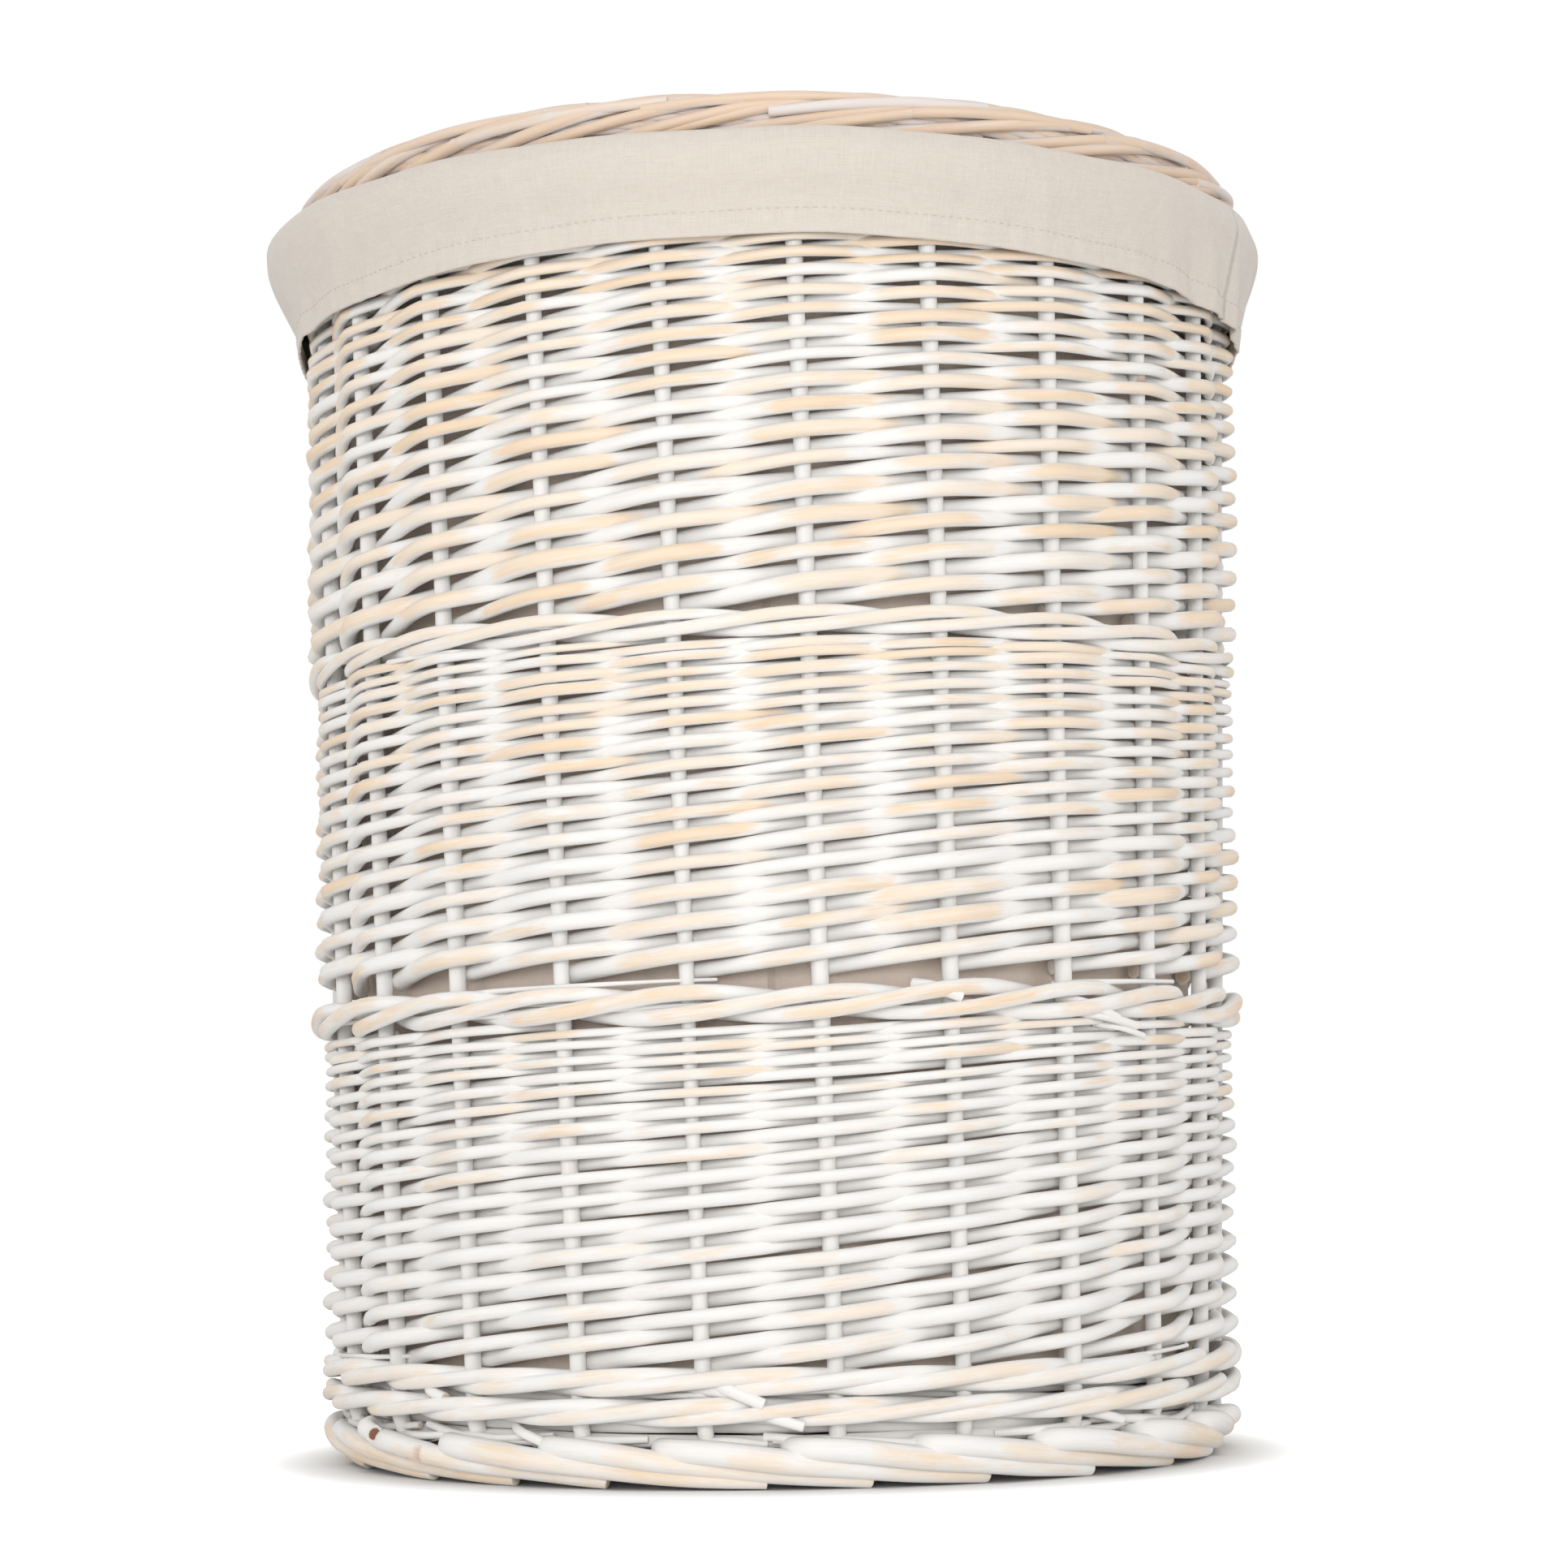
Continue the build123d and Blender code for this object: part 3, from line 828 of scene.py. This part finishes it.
# ---------------------------------------------------------------- base and lid discs
def paired_disc(bundle, inside, outside, middle, spokes, stick_radius):
    """Pairing: two rods twist round each other between the sticks, one over and one under."""
    radius = DISC_ROD_RADIUS
    pitch = PAIRING_PITCH * radius
    turns = (outside - inside) / pitch
    per_turn = spokes * STEPS_PER_SPACE
    count = int(turns * per_turn)
    around = np.arange(count) / per_turn * TAU
    reach = inside + pitch * around / TAU
    phase = around * spokes / 2
    lift = (stick_radius + radius) * smooth(0, 1.2, reach / inside)
    for rod in (-1, 1):
        height = middle + rod * lift * np.cos(phase) + wander(count, 10, 0.2 * MM)
        out = reach + rod * radius * 0.85 * np.sin(phase) + wander(count, 12, 0.2 * MM)
        line = np.stack([out * np.cos(around), out * np.sin(around), height], 1)
        face = np.tile([0, 0, 1.0], (count, 1))
        rub = smooth(-0.1, 0.8, np.abs(np.cos(phase))) * 0.8 * (1 + wander(count, 200, 0.2))
        size = radius * (1 + wander(count, 60, 0.06))
        bundle.add(line, size, face, rub, sides=8, knots=0.4)


def make_disc(node, border_inside, body, name):
    """The weaving of the base or the lid, round CAD sticks that keep their own shape."""
    low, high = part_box(node)
    sticks = [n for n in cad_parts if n.startswith(name + "_") and "_stick_" in n]
    stick_low, stick_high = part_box(name + "_through_stick_1")
    stick_radius = (stick_high.z - stick_low.z) / 2
    bundle = Rods()
    middle = (low.z + high.z) / 2
    paired_disc(bundle, CROSSING, border_inside, middle, 2 * len(sticks), stick_radius)
    bundle.build("weave_" + name, body, WILLOW_DISC, [node])
    for stick in sticks:
        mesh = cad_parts[stick].data
        mesh.materials.clear()
        mesh.materials.append(WILLOW_STICK)


def make_lid():
    """The lid's rolled border and its disc."""
    low, high, outside = band("lid_border")
    middle = (low + high) / 2
    half = (high - low) / 2 - LID_ROD_RADIUS
    circle = outside - half - LID_ROD_RADIUS + 1.8 * MM
    bundle = Rods()
    rope_border(bundle, circle, middle, (half, half), LID_STROKES, LID_ROD_RADIUS,
                LID_BORDER_SPAN, -125, 165)
    odd_rods(bundle, circle, middle, half, LID_STROKES)
    inner = half - 1.75 * LID_ROD_RADIUS
    border_core(bundle, circle, middle, inner, LID_STROKES, LID_ROD_RADIUS, LID_CORE_SPAN)
    bundle.build("lid_rolled_border", "lid", WILLOW_LID, ["lid_border"])
    make_disc("lid_weave", circle - half + 3 * MM, "lid", "lid")


# ---------------------------------------------------------------- liner
def cloth_mesh(name, points, across, up):
    """A sheet that goes round. across and up give each point's place in the flat cloth."""
    rows, columns = points.shape[:2]
    faces = ring_faces(np.arange(rows * columns).reshape(rows, columns))
    own = np.stack(np.broadcast_arrays(across, up, 0.0), 2)
    return smooth_mesh(name, points, faces, {}, "cloth", own)


def loose_creases(*limits):
    """Creases at random, from the least and most of lean, width, reach, centre and depth."""
    return [
        (rng.uniform(0, TAU),) + tuple(rng.uniform(least, most) for least, most in limits)
        for _ in range(LOOSE_CREASES)
    ]


def ripples(around, up, creases, size):
    """Soft creases that lean and fade, over a sheet that goes round the basket."""
    total = np.zeros(np.broadcast(around, up).shape)
    for at, lean, width, reach, centre, depth in creases:
        gap = near_zero(around - at - lean * (up - centre))
        total = total + depth * np.exp(-((gap / width) ** 2)) * np.exp(-(((up - centre) / reach) ** 2))
    return total * size


def thicken(piece):
    """Gives a sheet its thickness, half on each side."""
    solid = piece.modifiers.new("cloth", "SOLIDIFY")
    solid.thickness = CLOTH
    solid.offset = 0


def bump_at(around, middle, width):
    """1 at an angle in degrees, and less on both sides of it."""
    gap = near_zero(around - math.radians(middle))
    return np.exp(-((gap / math.radians(width)) ** 2))


def cuff_section(around, low, high, outside):
    """The cuff's outline at each angle, from inside the rim, over it, and down to the hem."""
    inside = stake_circle(high) - WALL_FROM_WILLOW
    flat_top = np.full(len(around), high - 0.75 * CLOTH)
    left, right = bump_at(around, -78, 42), bump_at(around, 82, 26)
    uneven = 0.9 * np.sin(4 * around + 1.3) + 0.6 * np.sin(9 * around + 0.2) + 0.5 * np.sin(17 * around)
    # the fold stands up a little beside the lid, and the hem is drawn in over the weave
    crest = 1.2 + 3.8 * left + 1.6 * right + 1.2 * bump_at(around, 175, 50) + 0.6 * uneven
    crest = flat_top + crest * MM
    shoulder = outside + (-0.6 + 3.4 * left - 0.4 * right + 0.5 * uneven) * MM
    hem = low + (3.2 - 12 * (1 - np.cos(around)) / 1.4 - 1.6 * right + 0.5 * uneven) * MM
    hem = np.maximum(hem, low - 7 * MM)
    edge = stake_circle(low) + (8.3 + 2.9 * smooth(0.10, 0.32, np.cos(around)) + 0.15 * uneven) * MM
    level = np.ones(len(around))
    return curve(np.array([
        (inside * level, (high - 20 * MM) * level),
        (inside * level, (high - 7 * MM) * level),
        ((inside + 3 * MM) * level, flat_top - 1.3 * MM),
        ((inside + 9 * MM) * level, flat_top),
        ((inside + 19 * MM) * level, flat_top),
        (edge + 5.2 * MM, crest),
        (shoulder - 1.2 * MM, crest - 4.2 * MM),
        (shoulder, crest - 10 * MM),
        (shoulder - 2.2 * MM, crest - 19 * MM),
        (edge + 2.6 * MM, hem + 15 * MM),
        (edge + 0.6 * MM, hem + 6 * MM),
        (edge, hem),
    ]), 6)


def sewn(around, along, to_hem):
    """How far the seam, the doubled hem and its stitches move the cloth in or out."""
    seam = near_zero(along)
    lap = 1.0 * np.exp(-((seam / 0.007) ** 2)) - 1.3 * np.exp(-(((seam - 0.013) / 0.006) ** 2))
    front = smooth(CUFF_FRONT, CUFF_FRONT - 12 * MM, to_hem)
    doubled = smooth(HEM_DEPTH + 1 * MM, HEM_DEPTH - 1 * MM, to_hem)
    stitched = np.exp(-(((to_hem - HEM_DEPTH) / (1.2 * MM)) ** 2))
    pucker = np.sin(around * 150 + 2 * np.sin(around * 17)) * smooth(22 * MM, 8 * MM, to_hem)
    return (lap * front + 0.45 * doubled - 0.5 * stitched + 0.16 * pucker) * MM


def make_cuff():
    """The cuff: up inside the rim, over it, and down outside to a turned-up hem."""
    low, high, outside = band("liner_cuff")
    along = np.arange(CUFF_COLUMNS) / CUFF_COLUMNS * TAU
    around = along + math.radians(CUFF_SEAM)
    section = cuff_section(around, low, high, outside)
    reach, height = section[:, 0], section[:, 1]
    steps = np.hypot(np.diff(reach, axis=0), np.diff(height, axis=0))
    run = np.concatenate([np.zeros((1, CUFF_COLUMNS)), np.cumsum(steps, axis=0)])
    to_hem = run[-1:] - run
    creases = loose_creases((-0.12, 0.12), (0.012, 0.05), (0.2, 0.6), (0.3, 1.0), (-0.8, 0.9))
    for at, lean, depth in GATHERED_CREASES:
        creases.append((math.radians(at), lean, 0.030, 0.40, 0.80, depth))
    front = smooth(CUFF_FRONT, CUFF_FRONT - 12 * MM, to_hem)
    fall = 1 - np.clip(to_hem / CUFF_FRONT, 0, 1)
    calm = 0.35 + 0.65 * (1 - bump_at(around, -5, 50))
    reach = reach + ripples(around, fall, creases, CUFF_CREASE) * front * calm
    reach = reach + sewn(around, along, to_hem)
    points = turned(around, reach, height)
    mesh = cloth_mesh("cuff", points, along * outside, run)
    cuff = place_piece("cuff", mesh, "liner", COTTON, ["liner_cuff"])
    thicken(cuff)
    stitches = make_stitches(points, to_hem.mean(1))


def make_stitches(points, to_hem):
    """One row of small stitches along the top of the hem, one to every second column."""
    line = points[int(np.argmin(np.abs(to_hem - HEM_DEPTH)))]
    radial = unit(line * [1, 1, 0])
    run = np.linspace(0.05, 1.35, 4)[:, None]
    bow = np.array([0.25, 0.75, 0.75, 0.25])[:, None] * MM
    bundle = Rods()
    for start in range(0, len(line), 2):
        ahead = line[(start + 1) % len(line)] - line[start]
        path = line[start] + ahead * run + radial[start] * bow
        bundle.add(path, STITCH_RADIUS, np.tile(radial[start], (4, 1)), 0.0, sides=5)
    return bundle.build("cuff_stitches", "liner", THREAD, [])


def make_liner_wall():
    """The bag's side, hanging just inside the weaving."""
    low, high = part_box("liner_wall")
    columns, rows = 360, 90
    around = np.arange(columns) / columns * TAU
    up = np.linspace(0, 1, rows)[:, None]
    bottom = low.z - 1 * MM
    top = high.z - 6 * MM
    height = bottom + (top - bottom) * up
    radius = stake_circle(height) - WALL_FROM_WILLOW
    creases = loose_creases((-0.5, 0.5), (0.02, 0.09), (0.12, 0.5), (0, 1), (-1.0, 0.1))
    slack = np.minimum(ripples(around, up, creases, BAG_CREASE), BAG_BULGE)
    points = turned(around, radius + slack * smooth(1.0, 0.93, up), height)
    mesh = cloth_mesh("liner_side", points, around * high.x, height)
    wall = place_piece("liner_side", mesh, "liner", COTTON_BAG, ["liner_wall"])
    thicken(wall)


def make_liner_floor():
    """The round floor of the bag, lying on the base weave."""
    low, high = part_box("liner_bottom")
    edge = float(stake_circle(low.z)) - WALL_FROM_WILLOW - 0.3 * MM
    columns, rows = 180, 46
    around = np.arange(columns) / columns * TAU
    share = np.linspace(0.004, 1, rows)[:, None]
    flat = turned(around, edge * share, high.z - CLOTH / 2)
    x, y, rest = flat[..., 0], flat[..., 1], flat[..., 2]
    lift = 0.5 * MM * (np.sin(x * 31 + 1) * np.sin(y * 27 + 2) + 1) * smooth(1.0, 0.9, share)
    pucker = 0.5 * MM * (np.sin(around * 40) + 1) * smooth(0.90, 1.0, share)
    points = np.stack([x, y, rest + lift + pucker], 2)
    mesh = cloth_mesh("liner_floor", points, x, y)
    floor = place_piece("liner_floor", mesh, "liner", COTTON_BAG, ["liner_bottom"])
    thicken(floor)


# ---------------------------------------------------------------- studio
def make_camera():
    """The photograph's view: low, close and tipped up a little."""
    data = bpy.data.cameras.new("camera")
    data.lens = LENS
    data.sensor_width = 36
    data.clip_start, data.clip_end = 0.05, 60
    camera = bpy.data.objects.new("camera", data)
    camera.location = CAMERA_PLACE
    tip = Matrix.Rotation(math.radians(CAMERA_TIP), 3, "X")
    roll = Matrix.Rotation(math.radians(CAMERA_ROLL), 3, "Z")
    camera.rotation_euler = (tip @ roll).to_euler()
    bpy.context.scene.collection.objects.link(camera)
    bpy.context.scene.camera = camera


def make_lights():
    """Soft round lights at the front, both sides and the back."""
    for name, (place, size, power) in LIGHTS.items():
        data = bpy.data.lights.new(name, "AREA")
        data.shape = "DISK"
        data.size = size
        data.energy = power
        light = bpy.data.objects.new(name, data)
        light.location = place
        aim = Vector(LIGHTS_AIM) - Vector(place)
        light.rotation_euler = aim.to_track_quat("-Z", "Y").to_euler()
        bpy.context.scene.collection.objects.link(light)


def make_floor():
    """A pale floor that glows white to the camera only, and less under the basket's shadow."""
    far = FLOOR_REACH
    mesh = bpy.data.meshes.new("floor")
    mesh.from_pydata([(-far, -far, 0), (far, -far, 0), (far, far, 0), (-far, far, 0)], [], [(0, 1, 2, 3)])
    n = Nodes("floor")
    where = n.put("ShaderNodeNewGeometry").outputs["Position"]
    cloud = n.noise(n.scaled(where, (1.5, 1.5, 1.5)), detail=1)
    n.set(n.shader, "Base Color", n.mix(cloud, FLOOR_DULL, FLOOR_LIGHT))
    n.set(n.shader, "Roughness", 0.9)
    n.set(n.shader, "Emission Color", WHITE)
    reach = n.put("ShaderNodeVectorMath", {"operation": "LENGTH"}, Vector=where).outputs["Value"]
    near = n.ramp(reach, *SHADOW_EDGE, 0.0, FLOOR_GLOW)
    glow = n.math("ADD", near, n.ramp(reach, *FULL_GLOW, 0.0, 1 - FLOOR_GLOW))
    seen = n.put("ShaderNodeLightPath").outputs["Is Camera Ray"]
    n.set(n.shader, "Emission Strength", n.math("MULTIPLY", glow, seen))
    mesh.materials.append(n.material)
    floor = bpy.data.objects.new("floor", mesh)
    bpy.context.scene.collection.objects.link(floor)


def make_surround():
    """A surround that looks white, and lights the basket less than it looks."""
    world = bpy.data.worlds.new("surround")
    world.use_nodes = True
    tree = world.node_tree
    background = tree.nodes["Background"]
    background.inputs["Color"].default_value = WHITE
    seen = tree.nodes.new("ShaderNodeLightPath").outputs["Is Camera Ray"]
    level = tree.nodes.new("ShaderNodeMapRange")
    level.inputs["To Min"].default_value = SURROUND
    level.inputs["To Max"].default_value = 1.0
    tree.links.new(seen, level.inputs["Value"])
    tree.links.new(level.outputs["Result"], background.inputs["Strength"])
    bpy.context.scene.world = world


# ---------------------------------------------------------------- everything together
WILLOW = willow("whitewashed_willow", rubbed=0.90, warm=0.55)
WILLOW_LOW = willow("whitewashed_willow_low", rubbed=0.80, warm=0.0)
WILLOW_WALE = willow("whitewashed_willow_wale", rubbed=0.72, warm=0.1)
WILLOW_FOOT = willow("whitewashed_willow_foot", rubbed=0.8, warm=0.35)
WILLOW_LID = willow("whitewashed_willow_lid", rubbed=1.35, warm=1.0, aged=0.36)
WILLOW_DISC = willow("whitewashed_willow_disc", rubbed=0.9, warm=0.45)
WILLOW_STAKE = willow("whitewashed_willow_stake", rubbed=1.0, warm=0.2)
WILLOW_STICK = willow("whitewashed_willow_stick", rubbed=1.0, warm=0.3, grain_from="position")
COTTON = cotton("cotton")
# the bag's cotton, with painted warm shade mixed in
COTTON_BAG = cotton("cotton_bag", 0.30)
THREAD = thread("thread")

bpy.context.scene.view_settings.view_transform = "Standard"
make_camera()
make_floor()
make_surround()
make_lights()
make_foot()
make_wale("base_wale", BASE_WALE_ROD_RADIUS, rounds=2, proud=1.8 * MM, clear=5 * MM)
make_side("lower_siding", 1.0 * MM, 30, WILLOW_LOW)
make_wale("lower_wale", 3.4 * MM, proud=2.4 * MM)
make_side("middle_siding", 6.0 * MM, 30, WILLOW)
make_wale("upper_wale", WALE_ROD_RADIUS, proud=0.8 * MM)
make_side("upper_siding", 1.5 * MM, 36, WILLOW)
make_rim()
make_stakes()
make_disc("base_weave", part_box("base_weave")[1].x - 2 * MM, "basket", "base")
make_lid()
make_liner_floor()
make_liner_wall()
make_cuff()
